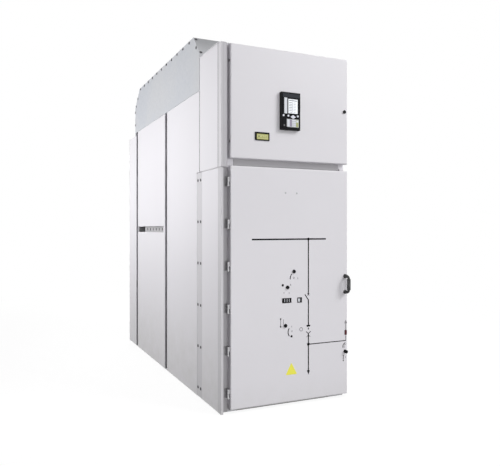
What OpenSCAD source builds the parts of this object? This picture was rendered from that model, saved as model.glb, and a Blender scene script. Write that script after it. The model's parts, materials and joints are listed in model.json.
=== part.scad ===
/* [Enclosure] */
// Width of the panel itself, without the end wall on its left
panel_w = 915; // [860:5:960]
// Thickness of the end wall that closes the row on the left
wall_t = 65; // [60:1:75]
// Depth from the door fronts to the rear covers
depth = 2500; // [2440:10:2600]
// Height of the painted side panels
side_h = 2175; // [2150:5:2200]
// Drop of the rear panels below the side panels
rear_drop = 30; // [25:1:45]
// Rise of the low-voltage compartment's roof above the side panels
lv_rise = 237; // [230:1:250]
// Depth of the low-voltage compartment, from the door fronts
lv_d = 385; // [360:5:400]
// Drop of the seam between the side panels below the lower door's top
seam_drop = 10; // [7:1:17]
// Gap between the side panels and the floor
toe = 4; // [2:1:6]
// Thickness of the sheet metal
sheet = 3; // [2:0.5:3]
// Depth of the folded edges of side and rear panels
fold_d = 8; // [8:0.5:12]
// Radius of the folded edges of side and rear panels
fold_r = 4; // [2:0.5:4]
// Depth of the folded edge of the low-voltage roof
hem = 8; // [8:0.5:10]
// Gap between neighbouring side panels
seam = 3; // [2:0.5:4]

/* [Side layout] */
// Width of the front fold of the end wall
trim_fold = 17; // [14:1:20]
// Width of the low-voltage corner post
corner_w = 56; // [50:1:56]
// Radius of the low-voltage corner post towards its door
corner_r = 36; // [30:1:38]
// Reach of the screwed joint strip in front of the low-voltage compartment's back
strip_in = 44; // [36:1:54]
// Width of the screwed joint strip
strip_w = 101; // [90:1:110]
// Set-back of the screwed joint strip
strip_back = 4; // [3:0.5:5]
// Width of the posts behind the end wall's panels
wall_post_w = 22; // [20:1:26]
// Set-back of those posts from the panels' edges
wall_post_in = 6; // [4:1:8]
// Length of the front side panel behind the low-voltage compartment
front_panel_l = 769; // [760:1:780]
// Width of the two vertical grooves
groove_w = 65; // [56:1:80]
// Length of the rear side panel
rear_panel_l = 290; // [280:1:300]
// Lower edge of the slot in the middle side panel
slot_z = 1164; // [1140:1:1180]
// Height of the slot in the middle side panel
slot_h = 53; // [48:1:60]
// Margin of the middle side panel in front of its slot
slot_front = 36; // [34:1:40]
// Margin of the middle side panel behind its slot
slot_rear = 24; // [22:1:30]
// Open end of the slot behind the perforated rail
rail_gap = 181; // [150:1:200]
// Set-back of the perforated rail from the side face
rail_back = 22; // [18:1:26]
// Overlap of the perforated rail behind the panel
rail_lap = 16; // [10:1:20]
// Distance of the first hole from the rail's front end
rail_first = 19; // [19:1:40]
// Diameter of the holes in the perforated rail
rail_hole_d = 30; // [20:1:32]
// Pitch of the holes in the perforated rail
rail_hole_pitch = 97; // [80:1:110]

/* [Frame] */
// Width of the front posts
post_w = 45; // [40:1:50]
// Depth of the front posts and rails
post_d = 42; // [36:1:46]
// Lap of the front rails behind the doors
rail_overlap = 26; // [20:1:30]
// Height of the sill under the lower door
sill_h = 46; // [40:1:60]
// Width of the base bars
base_w = 120; // [114:1:130]
// Thickness of the base bars
base_t = 8; // [6:1:10]
// Diameter of the floor bolt holes
bolt_d = 14; // [12:0.5:18]
// Distance of the floor bolts from the front and rear ends of the base bars
bolt_end = 120; // [90:5:200]
// Distance of the floor bolts from the outer edges of the base bars
bolt_side = 92; // [88:1:96]
// Distance of the switching compartment's back from the front side panel's rear edge
compartment_in = 17; // [8:1:60]

/* [Doors] */
// Thickness of both doors
door_t = 40; // [36:1:42]
// Radius of the doors' front edges
door_r = 8; // [5:0.5:10]
// Width of the folded lip on the doors' backs
door_lip = 22; // [18:1:26]
// Gap between the doors' backs and the frame
door_gap = 8; // [8:0.5:10]
// Gap between the end wall and the doors' hinge edge
door_side_gap = 3; // [2:0.5:4]
// Height of the lower door's bottom edge
lower_z = 22; // [18:1:30]
// Height of the recessed band between the doors
band_h = 48; // [44:1:56]
// Height of the low-voltage door
upper_h = 745; // [735:1:755]
// Height of the low-voltage roof above the low-voltage door
roof_over = 12; // [12:1:18]

/* [Hinges] */
// Number of hinges on the lower door
hinge_n = 6; // [4:1:6]
// Distance of the end hinges from the lower door's edges
hinge_end = 105; // [90:1:130]
// Length of a hinge barrel
hinge_l = 60; // [50:1:64]
// Diameter of a hinge barrel
hinge_d = 12; // [11:0.5:14]
// Diameter of the collars at a hinge barrel's ends
hinge_collar_d = 16; // [15:0.5:18]
// Height of the collars at a hinge barrel's ends
hinge_collar_h = 9; // [6:0.5:12]
// Diameter of a hinge pin
hinge_pin_d = 7; // [5:0.5:8]
// Distance of the hinge axis from the lower door's edge
hinge_off = 13; // [10:0.5:14]
// Distance of the hinge axis behind the door fronts
hinge_s = 10; // [9:0.5:12]
// Thickness of the hinge leaves
leaf_t = 3; // [2:0.5:3]
// Width of the hinges' screwed feet
foot_w = 28; // [24:1:32]
// Gap between the two halves of a hinge
hinge_gap = 1; // [0.5:0.25:1.5]
// Radial running clearance of all hinge pins
pin_clear = 0.05; // [0.02:0.01:0.1]
// Distance of the low-voltage door's hidden hinge axis from its edge
pivot_off = 12; // [11:0.5:12]
// Distance of that axis behind the door fronts
pivot_s = 18; // [17:0.5:18]
// Distance of the hidden hinges from the door's upper and lower edges
pivot_end = 110; // [90:5:160]
// Diameter of the hidden hinges' pins
pivot_d = 8; // [6:0.5:8]
// Thickness of the hidden hinges' tongues
tongue_t = 5; // [4:0.5:6]
// Width of the hidden hinges' tongues
tongue_w = 10; // [9:0.5:10]
// Thickness of the ears that the pins run in
ear_t = 6; // [5:0.5:8]
// Reach of the ears beyond the pin's centre
ear_reach = 8; // [7:0.5:9]
// Gap between tongue and ears
ear_gap = 1; // [0.5:0.25:1.5]
// Room for a tongue in the door's edge
slit_room = 5; // [4:0.5:6]

/* [Door fittings] */
// Distance of the protection relay from the door's hinge edge
relay_in = 361; // [345:1:380]
// Height of the protection relay above the door's lower edge
relay_up = 207; // [190:1:230]
// Width of the protection relay
relay_w = 145; // [140:1:160]
// Height of the protection relay
relay_h = 252; // [245:1:265]
// Edge radius of the relay's bezel
relay_r = 5; // [3:0.5:8]
// Projection of the protection relay from the door
relay_out = 30; // [24:1:36]
// Margin of the relay's bezel over its cut-out
relay_margin = 10; // [6:1:12]
// Distance of the voltage indicator from the door's hinge edge
meter_in = 175; // [160:1:190]
// Height of the voltage indicator above the door's lower edge
meter_up = 126; // [115:1:135]
// Width of the voltage indicator
meter_w = 106; // [96:1:110]
// Height of the voltage indicator
meter_h = 55; // [48:1:60]
// Edge radius of the indicator's bezel
meter_r = 3; // [1:0.5:4]
// Projection of the voltage indicator from the door
meter_out = 8; // [5:1:12]
// Margin of the indicator's bezel over its cut-out
meter_margin = 6; // [4:1:8]
// Clearance of door cut-outs around what they hold
cut_clear = 0.5; // [0.3:0.1:1]
// Depth of the bodies that stand in the door cut-outs
insert_d = 30; // [24:1:34]
// Diameter of the low-voltage door's lock
lock_d = 24; // [20:1:28]
// Diameter of the lock's body in the door
lock_body_d = 17; // [14:0.5:17]
// Diameter of the lock's key recess
lock_key_d = 10; // [8:0.5:12]
// Distance of the lock from the door's free edge
lock_in = 27; // [22:1:40]
// Height of the lock above the door's lower edge
lock_up = 371; // [355:1:390]
// Projection of the lock
lock_out = 6; // [4:1:10]
// Projection of the bow handle from the lower door
handle_out = 54; // [46:1:60]
// Length of the bow handle between its feet
handle_l = 112; // [100:1:120]
// Height of the bow handle's centre above the door's lower edge
handle_up = 782; // [765:1:800]
// Distance of the bow handle from the door's free edge
handle_in = 21; // [21:1:35]
// Radius of the bow handle's bends along the middle of the bar
handle_r = 20; // [14:1:24]
// Diameter of the bow handle's bar
handle_d = 18; // [16:1:20]
// Diameter of the bow handle's feet
handle_foot_d = 26; // [22:1:30]
// Thickness of the bow handle's feet
handle_foot_t = 4; // [3:0.5:6]
// Diameter of the operating sockets
socket_d = 24; // [20:1:28]
// Diameter of the holes in the operating sockets
socket_hole_d = 12; // [10:1:14]
// Projection of the operating sockets
socket_out = 8; // [4:0.5:12]
// Depth of the holes in the operating sockets
socket_hole_l = 6; // [2:0.5:7]
// Distance of the closing socket from the door's hinge edge
close_in = 471; // [460:1:490]
// Height of the closing socket above the door's lower edge
close_up = 884; // [870:1:900]
// Distance of the racking socket from the door's hinge edge
rack_in = 421; // [410:1:440]
// Height of the racking socket above the door's lower edge
rack_up = 778; // [760:1:790]
// Distance of the shutter socket from the door's hinge edge
shutter_in = 404; // [395:1:425]
// Height of the shutter socket above the door's lower edge
shutter_up = 520; // [500:1:535]
// Distance of the earthing socket from the door's free edge
earth_in = 21; // [20:1:40]
// Projection of the earthing socket
earth_out = 20; // [12:1:26]
// Height of the earthing socket above the door's lower edge
earth_up = 303; // [285:1:320]

/* [Pressure relief duct] */
// Height of the duct above the side panels
duct_h = 417; // [400:1:435]
// Gap between the low-voltage compartment and the duct
duct_gap = 4; // [4:1:10]
// Reach of the duct over the rear side panel
duct_over = 40; // [20:1:60]
// Height of the duct's upright front
duct_front_h = 261; // [250:1:275]
// Run of the duct's front slope
duct_front_run = 126; // [110:1:140]
// Height of the duct's upright rear
duct_rear_h = 252; // [235:1:265]
// Run of the duct's rear slope
duct_rear_run = 177; // [160:1:190]

/* [Hidden] */
$fn = 48;

total_w = panel_w + wall_t;
front_y = (handle_out - depth) / 2;
frame_s = door_t + door_gap;
trim_d = frame_s;
post_end = frame_s + post_d;
door_x = wall_t + door_side_gap;
door_w = total_w - door_x;
lv_top = side_h + lv_rise;
lv_wall_top = lv_top - hem;
upper_top = lv_top - roof_over;
upper_z = upper_top - upper_h;
lower_top = upper_z - band_h;
lower_h = lower_top - lower_z;
seam_z = lower_top - seam_drop;
rear_h = side_h - rear_drop;
inner_x = wall_t + sheet;
right_x = total_w - fold_d - sheet;
lv_floor_z = upper_z + rail_overlap - sheet;
ceiling_z = lower_top - rail_overlap;
floor_z = base_t + sheet;
back_s = depth - fold_d;
strip_s = lv_d - strip_in;
strip_end = strip_s + strip_w;
front_panel_end = lv_d + seam + front_panel_l;
compartment_end = front_panel_end - compartment_in;
middle_s = front_panel_end + groove_w;
rear_s = depth - rear_panel_l;
middle_end = rear_s - groove_w;
slot_top = slot_z + slot_h;
slot_s = middle_s + slot_front;
slot_end = middle_end - slot_rear;
rail_s = middle_s + wall_post_in + wall_post_w;
rail_l = slot_end - rail_gap - rail_s;
duct_s = lv_d + duct_gap;
duct_end = rear_s + duct_over;
duct_top = side_h + duct_h;
step_s = duct_end - sheet;
hinge_x = door_x - hinge_off;
hinge_pitch = (lower_h - 2 * hinge_end) / (hinge_n - 1);
half_l = (hinge_l - hinge_gap) / 2;
pivot_x = door_x + pivot_off;
pivot_zs = [upper_z + pivot_end, upper_top - pivot_end];
bar_left = fold_d;
bar_right = total_w - fold_d - base_w;
relay_x = door_x + relay_in;
relay_z = upper_z + relay_up;
meter_x = door_x + meter_in;
meter_z = upper_z + meter_up;

paint = [0.86, 0.86, 0.88];
zinc = [0.74, 0.76, 0.78];
dark = [0.30, 0.30, 0.32];
steel = [0.62, 0.63, 0.65];
black = [0.08, 0.08, 0.09];

// Panel coordinates: X from the left side, Y back from the door fronts, Z up from the floor
module in_panel() { translate([-total_w / 2, front_y, 0]) children(); }

// Outline of a sheet with two rounded front corners
module round_front(w, t, r) {
    translate([0, r]) square([w, t - r]);
    translate([r, 0]) square([w - 2 * r, t]);
    for (x = [r, w - r]) translate([x, r]) circle(r = r);
}

// Folded tray: its face looks to -Y and its edges fold back, with a lip if asked for
module tray(w, h, t, r, lip = 0) {
    back = lip > 0 ? t - sheet : t + 1;
    difference() {
        intersection() {
            linear_extrude(h) round_front(w, t, r);
            translate([w, 0, 0]) rotate([0, -90, 0]) linear_extrude(w) round_front(h, t, r);
        }
        translate([sheet, sheet, sheet]) cube([w - 2 * sheet, back - sheet, h - 2 * sheet]);
        if (lip > 0)
            translate([lip, t - 2 * sheet, lip]) cube([w - 2 * lip, 3 * sheet, h - 2 * lip]);
    }
}

// Tray on the left side, between two depths and two heights
module left_tray(s0, s1, z0, z1, t = fold_d) {
    translate([0, s1, z0]) rotate([0, 0, -90]) tray(s1 - s0, z1 - z0, t, fold_r);
}

// Tray on the right side, between two depths and two heights
module right_tray(s0, s1, z0, z1) {
    translate([total_w, s0, z0]) rotate([0, 0, 90]) tray(s1 - s0, z1 - z0, fold_d, fold_r);
}

// Plain box between two corners
module slab(a, b) { translate(a) cube(b - a); }

// Base and frame
module floor_bolts() {
    for (x = [fold_d + bolt_side, total_w - fold_d - bolt_side], s = [frame_s + bolt_end, back_s - bolt_end])
        translate([x, s, -1]) cylinder(d = bolt_d, h = floor_z + 2);
}

module base_side_bars() {
    color(zinc) in_panel() for (x = [bar_left, bar_right]) difference() {
        slab([x, frame_s, 0], [x + base_w, back_s, base_t]);
        floor_bolts();
    }
}

module base_cross_bars() {
    color(zinc) in_panel() for (s = [frame_s, back_s - base_w])
        slab([bar_left + base_w, s, 0], [bar_right, s + base_w, base_t]);
}

module floor_plate() {
    color(zinc) in_panel() difference() {
        slab([inner_x, post_end, base_t], [right_x, back_s, floor_z]);
        floor_bolts();
    }
}

module door_sill() {
    color(paint) in_panel() translate([wall_t + post_w, frame_s, base_t])
        tray(panel_w - 2 * post_w, sill_h, post_d, fold_r);
}

module front_post(x) {
    translate([x, frame_s, base_t]) tray(post_w, lv_wall_top - base_t, post_d, fold_r);
}

module left_front_post() { color(paint) in_panel() front_post(wall_t); }

module right_front_post() { color(paint) in_panel() front_post(total_w - post_w); }

module front_rail(z0, z1) {
    translate([wall_t + post_w, frame_s, z0]) tray(panel_w - 2 * post_w, z1 - z0, post_d, fold_r);
}

module door_cross_rail() {
    color(paint) in_panel() front_rail(ceiling_z, lv_floor_z + sheet);
}

module lv_header() {
    color(paint) in_panel() front_rail(upper_top - rail_overlap, lv_wall_top);
}

// Side wall of the compartments, lower behind the duct
module inner_wall(x) {
    top = side_h - sheet;
    low = rear_h - sheet;
    translate([x, 0, 0]) rotate([90, 0, 90]) linear_extrude(sheet)
        polygon([[post_end, base_t], [back_s, base_t], [back_s, low], [step_s, low], [step_s, top],
            [post_end, top]]);
}

module left_inner_wall() {
    color(zinc) in_panel() difference() {
        inner_wall(wall_t);
        slab([wall_t - 1, rail_s + rail_l, slot_z], [inner_x + 1, slot_end, slot_top]);
    }
}

module right_inner_wall() { color(zinc) in_panel() inner_wall(right_x); }

module lv_linings() {
    color(zinc) in_panel() for (x = [wall_t, right_x])
        slab([x, post_end, side_h - sheet], [x + sheet, lv_d - sheet, lv_top - sheet]);
}

// Post behind the end wall's panels, between two depths
module wall_post(s0, s1, top) {
    translate([fold_d, s1, base_t]) rotate([0, 0, -90])
        tray(s1 - s0, top - base_t, wall_t - fold_d, fold_r);
}

module end_wall_posts() {
    color(dark) in_panel() {
        wall_post(frame_s, post_end, upper_top - sheet);
        wall_post(strip_s - wall_post_in, strip_end + wall_post_in, side_h - sheet);
        for (s = [front_panel_end, middle_end])
            wall_post(s - wall_post_in - wall_post_w, s - wall_post_in, side_h - sheet);
        wall_post(middle_s + wall_post_in, rail_s, side_h - sheet);
        wall_post(rear_s + wall_post_in, rear_s + wall_post_in + wall_post_w, rear_h - sheet);
        wall_post(back_s - wall_post_w, back_s, rear_h - sheet);
    }
}

module end_wall_front_trim() {
    color(paint) in_panel() translate([0, 0, toe]) linear_extrude(seam_z - toe - seam) {
        difference() {
            round_corner(trim_fold, trim_d, fold_r);
            translate([sheet, sheet]) square([trim_fold, trim_d - 2 * sheet]);
        }
        translate([0, trim_d - sheet]) square([wall_t, sheet]);
    }
}

// Outline with its front left corner rounded
module round_corner(w, t, r) {
    translate([r, 0]) square([w - r, t]);
    translate([0, r]) square([w, t - r]);
    translate([r, r]) circle(r = r);
}

// Outline of the low-voltage corner post, with a wide round towards the door
module corner_outline(w, t, left_r, right_r) {
    intersection() {
        round_corner(w, t, left_r);
        translate([w, 0]) mirror([1, 0]) round_corner(w, t, right_r);
    }
}

module lv_corner_post() {
    color(paint) in_panel() translate([0, 0, seam_z]) {
        linear_extrude(upper_top - seam_z) difference() {
            corner_outline(corner_w, trim_d, fold_r, corner_r);
            translate([sheet, sheet])
                corner_outline(corner_w - 2 * sheet, trim_d, fold_r / 2, corner_r - sheet);
        }
        for (z = [0, upper_top - seam_z - sheet]) translate([0, 0, z])
            linear_extrude(sheet) corner_outline(corner_w, trim_d, fold_r, corner_r);
    }
}

module end_wall_front_lower() {
    color(paint) in_panel() left_tray(trim_d + seam / 2, strip_s - seam / 2, toe, seam_z - seam);
}

module end_wall_lv_side() {
    color(paint) in_panel() left_tray(trim_d + seam / 2, lv_d, seam_z, lv_wall_top);
}

module end_wall_joint_strip() {
    color(paint) in_panel()
        slab([strip_back, strip_s, toe], [fold_d, strip_end - seam, seam_z - seam]);
}

// Side panel that reaches forward over the joint strip to the low-voltage side
module end_wall_front_panel() {
    color(paint) in_panel() {
        difference() {
            left_tray(lv_d + seam, front_panel_end, toe, side_h);
            slab([-1, lv_d, 0], [fold_d + 1, strip_end, seam_z]);
        }
        slab([0, strip_end, toe], [fold_d, strip_end + sheet, seam_z + sheet]);
        slab([0, lv_d + seam + sheet, seam_z], [fold_d, strip_end + sheet, seam_z + sheet]);
    }
}

module end_wall_middle_panel() {
    color(paint) in_panel() difference() {
        left_tray(middle_s, middle_end, toe, side_h);
        slab([-1, slot_s, slot_z], [sheet + 1, slot_end, slot_top]);
    }
}

module end_wall_rear_panel() {
    color(paint) in_panel() left_tray(rear_s, depth, toe, rear_h);
}

module perforated_rail() {
    h = slot_h + 2 * rail_lap;
    count = floor((rail_l - rail_first) / rail_hole_pitch) + 1;
    color(zinc) in_panel() translate([rail_back, rail_s, slot_z - rail_lap]) difference() {
        cube([wall_t - rail_back, rail_l, h]);
        translate([sheet, -1, sheet]) cube([wall_t, rail_l + 2, h - 2 * sheet]);
        for (i = [0:count - 1]) translate([-1, rail_first + i * rail_hole_pitch, h / 2])
            rotate([0, 90, 0]) cylinder(d = rail_hole_d, h = sheet + 2);
    }
}

// Compartment plates
module lv_roof() {
    color(paint) in_panel() translate([0, frame_s, lv_top]) rotate([-90, 0, 0])
        tray(total_w, lv_d - frame_s, hem, min(fold_r, hem / 2));
}

module lv_floor() {
    color(zinc) in_panel() slab([inner_x, post_end, lv_floor_z], [right_x, lv_d - sheet, lv_floor_z + sheet]);
}

module lv_back() {
    color(zinc) in_panel() slab([inner_x, lv_d - sheet, lv_floor_z], [right_x, lv_d, lv_wall_top]);
}

module compartment_ceiling() {
    color(zinc) in_panel()
        slab([inner_x, post_end, ceiling_z], [right_x, compartment_end, ceiling_z + sheet]);
}

module compartment_back() {
    color(zinc) in_panel()
        slab([inner_x, compartment_end, floor_z], [right_x, compartment_end + sheet, side_h - sheet]);
}

module main_roof() {
    color(zinc) in_panel()
        slab([fold_d, lv_d, side_h - sheet], [total_w - fold_d, step_s, side_h]);
}

module rear_roof() {
    color(paint) in_panel()
        slab([fold_d, step_s, rear_h - sheet], [total_w - fold_d, back_s, rear_h]);
}

// Right side and rear
module right_lv_side() {
    color(paint) in_panel() right_tray(post_end + seam, lv_d, seam_z, lv_wall_top);
}

module right_front_panel() {
    color(paint) in_panel() right_tray(post_end + seam, front_panel_end, toe, seam_z - seam);
}

module right_upper_panel() {
    color(paint) in_panel() right_tray(lv_d + seam, front_panel_end, seam_z, side_h);
}

module right_middle_panel() {
    color(paint) in_panel() right_tray(middle_s, middle_end, toe, side_h);
}

module right_rear_panel() { color(paint) in_panel() right_tray(rear_s, depth, toe, rear_h); }

module rear_cover(z0, z1) {
    translate([total_w - fold_d - seam, depth, z0]) rotate([0, 0, 180])
        tray(total_w - 2 * fold_d - 2 * seam, z1 - z0, fold_d, fold_r);
}

module rear_lower_cover() { color(paint) in_panel() rear_cover(toe, slot_z); }

module rear_upper_cover() { color(paint) in_panel() rear_cover(slot_z + seam, rear_h); }

// Pressure relief duct
function duct_points() = [[duct_s, side_h], [duct_s, side_h + duct_front_h],
    [duct_s + duct_front_run, duct_top],
    [duct_end - duct_rear_run, duct_top], [duct_end, side_h + duct_rear_h], [duct_end, rear_h]];

module duct_end_plate(x) {
    translate([x, 0, 0]) rotate([90, 0, 90]) linear_extrude(sheet)
        polygon(concat(duct_points(), [[rear_s, rear_h], [rear_s, side_h]]));
}

module duct_left_end() { color(zinc) in_panel() duct_end_plate(0); }

module duct_right_end() { color(zinc) in_panel() duct_end_plate(total_w - sheet); }

// Skin of the duct between two corners of its outline
module duct_skin(from, to) {
    p = duct_points();
    c = [(duct_s + duct_end) / 2, side_h];
    inset = [for (q = p) q + sheet * [q[0] < c[0] ? 1 : -1, q[1] > side_h ? -1 : 0]];
    corners = concat([for (i = [from:to]) p[i]], [for (i = [to:-1:from]) inset[i]]);
    translate([sheet, 0, 0]) rotate([90, 0, 90]) linear_extrude(total_w - 2 * sheet) polygon(corners);
}

module duct_front_slope() { color(zinc) in_panel() duct_skin(0, 2); }

module duct_roof() { color(zinc) in_panel() duct_skin(2, 3); }

module duct_rear_slope() { color(zinc) in_panel() duct_skin(3, 5); }

// Hinges
function hinge_zs() = [for (i = [0:hinge_n - 1]) lower_z + hinge_end + i * hinge_pitch - hinge_l / 2];

module hinge_frame_leaves() {
    reach = trim_d - sheet - hinge_s;
    color(steel) in_panel() for (z = hinge_zs()) translate([hinge_x, hinge_s, z]) {
        cylinder(d = hinge_d, h = half_l);
        cylinder(d = hinge_collar_d, h = hinge_collar_h);
        cylinder(d = hinge_pin_d, h = hinge_l - 2 * leaf_t);
        translate([-leaf_t / 2, 0, 0]) cube([leaf_t, reach, half_l]);
        translate([leaf_t / 2 - foot_w, reach - leaf_t, 0]) cube([foot_w, leaf_t, hinge_l]);
    }
}

module hinge_door_leaves() {
    color(steel) in_panel() for (z = hinge_zs()) translate([hinge_x, hinge_s, z + half_l + hinge_gap])
        difference() {
            union() {
                cylinder(d = hinge_d, h = half_l);
                translate([0, 0, half_l - hinge_collar_h])
                    cylinder(d = hinge_collar_d, h = hinge_collar_h);
                translate([hinge_off - leaf_t, -leaf_t / 2, 0])
                    cube([leaf_t, door_t - hinge_s - leaf_t, half_l]);
                translate([0, -leaf_t / 2, 0]) cube([hinge_off, 2 * leaf_t, half_l]);
            }
            translate([0, 0, -1])
                cylinder(d = hinge_pin_d + 2 * pin_clear, h = half_l - leaf_t + 1);
        }
}

module lv_hinge_tongues() {
    pin_l = tongue_t + 2 * (ear_gap + ear_t);
    color(steel) in_panel() for (z = pivot_zs) translate([pivot_x, pivot_s, z]) {
        translate([0, 0, -tongue_t / 2]) cylinder(d = tongue_w, h = tongue_t);
        translate([0, 0, -pin_l / 2]) cylinder(d = pivot_d, h = pin_l);
        translate([-tongue_w / 2, 0, -tongue_t / 2]) cube([tongue_w, frame_s - pivot_s, tongue_t]);
    }
}

module lv_hinge_ears() {
    color(steel) in_panel() for (z = pivot_zs, up = [0, 1])
        translate([0, 0, z + (up ? tongue_t / 2 + ear_gap : -tongue_t / 2 - ear_gap - ear_t)]) difference() {
            slab([door_x + sheet, sheet, 0], [pivot_x + ear_reach, pivot_s + ear_reach, ear_t]);
            translate([pivot_x, pivot_s, -1]) cylinder(d = pivot_d + 2 * pin_clear, h = ear_t + 2);
        }
}

// Low-voltage door
module cut_out(x, z, w, h, margin) {
    slab([x + margin - cut_clear, -1, z + margin - cut_clear],
        [x + w - margin + cut_clear, sheet + 1, z + h - margin + cut_clear]);
}

module lv_door_panel() {
    slit = tongue_t / 2 + slit_room;
    color(paint) in_panel() difference() {
        translate([door_x, 0, upper_z]) tray(door_w, upper_h, door_t, door_r, door_lip);
        cut_out(relay_x, relay_z, relay_w, relay_h, relay_margin);
        cut_out(meter_x, meter_z, meter_w, meter_h, meter_margin);
        translate([total_w - lock_in, -1, upper_z + lock_up]) rotate([-90, 0, 0])
            cylinder(d = lock_body_d + 2 * cut_clear, h = sheet + 2);
        for (z = pivot_zs)
            slab([door_x - 1, 2 * sheet, z - slit], [door_x + door_lip + 1, door_t + 1, z + slit]);
    }
}

// Bezel in front of the door with a body in the door's cut-out
module flush_unit(x, z, w, h, out, margin, r) {
    translate([x, -out, z]) intersection() {
        linear_extrude(h) round_front(w, out, r);
        translate([w, 0, 0]) rotate([0, -90, 0]) linear_extrude(w) round_front(h, out, r);
    }
    slab([x + margin, -1, z + margin], [x + w - margin, insert_d, z + h - margin]);
}

module protection_relay() {
    color(black) in_panel() flush_unit(relay_x, relay_z, relay_w, relay_h, relay_out, relay_margin, relay_r);
}

module voltage_indicator() {
    color(black) in_panel() flush_unit(meter_x, meter_z, meter_w, meter_h, meter_out, meter_margin, meter_r);
}

module lv_lock() {
    color(black) in_panel() translate([total_w - lock_in, 0, upper_z + lock_up]) rotate([90, 0, 0])
        difference() {
            union() {
                cylinder(d = lock_d, h = lock_out);
                translate([0, 0, -insert_d]) cylinder(d = lock_body_d, h = insert_d);
            }
            translate([0, 0, lock_out / 2]) cylinder(d = lock_key_d, h = lock_out);
        }
}

// Lower door
module lower_door_panel() {
    color(paint) in_panel() translate([door_x, 0, lower_z]) tray(door_w, lower_h, door_t, door_r, door_lip);
}

// Quarter of a ring in the bow handle's plane
module handle_bend() {
    rotate([90, 0, 90]) rotate_extrude(angle = 90) translate([handle_r, 0]) circle(d = handle_d);
}

module bow_handle() {
    reach = handle_out - handle_d / 2;
    half = handle_l / 2 - handle_r;
    color(black) in_panel() translate([total_w - handle_in, 0, lower_z + handle_up]) {
        translate([0, -reach, -half]) cylinder(d = handle_d, h = 2 * half);
        for (up = [0, 1]) mirror([0, 0, up]) translate([0, 0, -half]) {
            translate([0, handle_r - reach, 0]) rotate([180, 0, 0]) handle_bend();
            translate([0, handle_r - reach, -handle_r]) rotate([-90, 0, 0])
                cylinder(d = handle_d, h = reach - handle_r);
            translate([0, 0, -handle_r]) rotate([90, 0, 0]) cylinder(d = handle_foot_d, h = handle_foot_t);
        }
    }
}

// Places of the operating sockets: distance from the left side, height and projection
function socket_places() = [[door_x + close_in, lower_z + close_up, socket_out],
    [door_x + rack_in, lower_z + rack_up, socket_out],
    [door_x + shutter_in, lower_z + shutter_up, socket_out],
    [total_w - earth_in, lower_z + earth_up, earth_out]];

module operating_sockets() {
    color(black) in_panel() for (p = socket_places()) translate([p[0], 0, p[1]]) rotate([90, 0, 0])
        difference() {
            cylinder(d = socket_d, h = p[2]);
            translate([0, 0, p[2] - socket_hole_l]) cylinder(d = socket_hole_d, h = socket_hole_l + 1);
        }
}

base_side_bars();
base_cross_bars();
floor_plate();
door_sill();
left_front_post();
right_front_post();
door_cross_rail();
lv_header();
left_inner_wall();
right_inner_wall();
lv_linings();
end_wall_posts();
end_wall_front_trim();
lv_corner_post();
end_wall_front_lower();
end_wall_lv_side();
end_wall_joint_strip();
end_wall_front_panel();
end_wall_middle_panel();
end_wall_rear_panel();
perforated_rail();
lv_roof();
lv_floor();
lv_back();
compartment_ceiling();
compartment_back();
main_roof();
rear_roof();
right_lv_side();
right_front_panel();
right_upper_panel();
right_middle_panel();
right_rear_panel();
rear_lower_cover();
rear_upper_cover();
duct_left_end();
duct_right_end();
duct_front_slope();
duct_roof();
duct_rear_slope();
hinge_frame_leaves();
lv_hinge_tongues();
lv_door_panel();
lv_hinge_ears();
protection_relay();
voltage_indicator();
lv_lock();
lower_door_panel();
hinge_door_leaves();
bow_handle();
operating_sockets();
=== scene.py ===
import json
import math

import bmesh
import bpy
from mathutils import Matrix, Vector


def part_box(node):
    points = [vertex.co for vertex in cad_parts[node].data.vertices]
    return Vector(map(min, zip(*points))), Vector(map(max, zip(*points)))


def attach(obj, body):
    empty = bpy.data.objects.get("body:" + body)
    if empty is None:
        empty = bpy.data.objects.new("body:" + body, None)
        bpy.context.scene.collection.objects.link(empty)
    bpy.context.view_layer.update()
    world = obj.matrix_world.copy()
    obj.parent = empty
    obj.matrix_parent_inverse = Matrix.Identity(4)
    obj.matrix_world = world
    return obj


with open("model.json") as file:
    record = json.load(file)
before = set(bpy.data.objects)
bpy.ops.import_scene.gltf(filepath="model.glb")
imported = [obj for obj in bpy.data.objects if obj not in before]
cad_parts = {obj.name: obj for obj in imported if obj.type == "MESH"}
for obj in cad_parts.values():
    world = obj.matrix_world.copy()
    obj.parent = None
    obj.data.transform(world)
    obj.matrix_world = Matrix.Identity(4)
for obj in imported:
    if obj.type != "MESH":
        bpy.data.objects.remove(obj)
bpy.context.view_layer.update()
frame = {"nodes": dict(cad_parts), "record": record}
print("frame loaded:", len(frame["nodes"]), "nodes")

mm = 0.001
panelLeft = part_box("duct_left_end")[0].x      # outer face of the end wall
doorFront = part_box("lower_door_panel")[0].y   # front plane of both doors
cabinet = {"wide": 980, "deep": 2500}


# panel millimetres: from the left side, back from the door fronts, up from the floor
def place(x, s, z):
    return Vector((panelLeft + x * mm, doorFront + s * mm, z * mm))


# small tools for shader trees
def startGroup(name, inputs, outputs):
    tree = bpy.data.node_groups.new(name, "ShaderNodeTree")
    for label, kind, value in inputs:
        socket = tree.interface.new_socket(label, in_out="INPUT", socket_type="NodeSocket" + kind)
        socket.default_value = value
    for label, kind in outputs:
        tree.interface.new_socket(label, in_out="OUTPUT", socket_type="NodeSocket" + kind)
    return tree, tree.nodes.new("NodeGroupInput"), tree.nodes.new("NodeGroupOutput")


def addNode(tree, kind, sockets=None, **settings):
    node = tree.nodes.new("ShaderNode" + kind)
    for key, value in settings.items():
        setattr(node, key, value)
    for key, value in (sockets or {}).items():
        node.inputs[key].default_value = value
    return node


# sets a socket to a plain value, or links it to another node's output
def feed(tree, socket, value):
    if hasattr(value, "is_linked"):
        tree.links.new(value, socket)
    else:
        socket.default_value = value


def mathNode(tree, operation, first, second):
    node = addNode(tree, "Math", operation=operation)
    feed(tree, node.inputs[0], first)
    feed(tree, node.inputs[1], second)
    return node.outputs[0]


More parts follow.
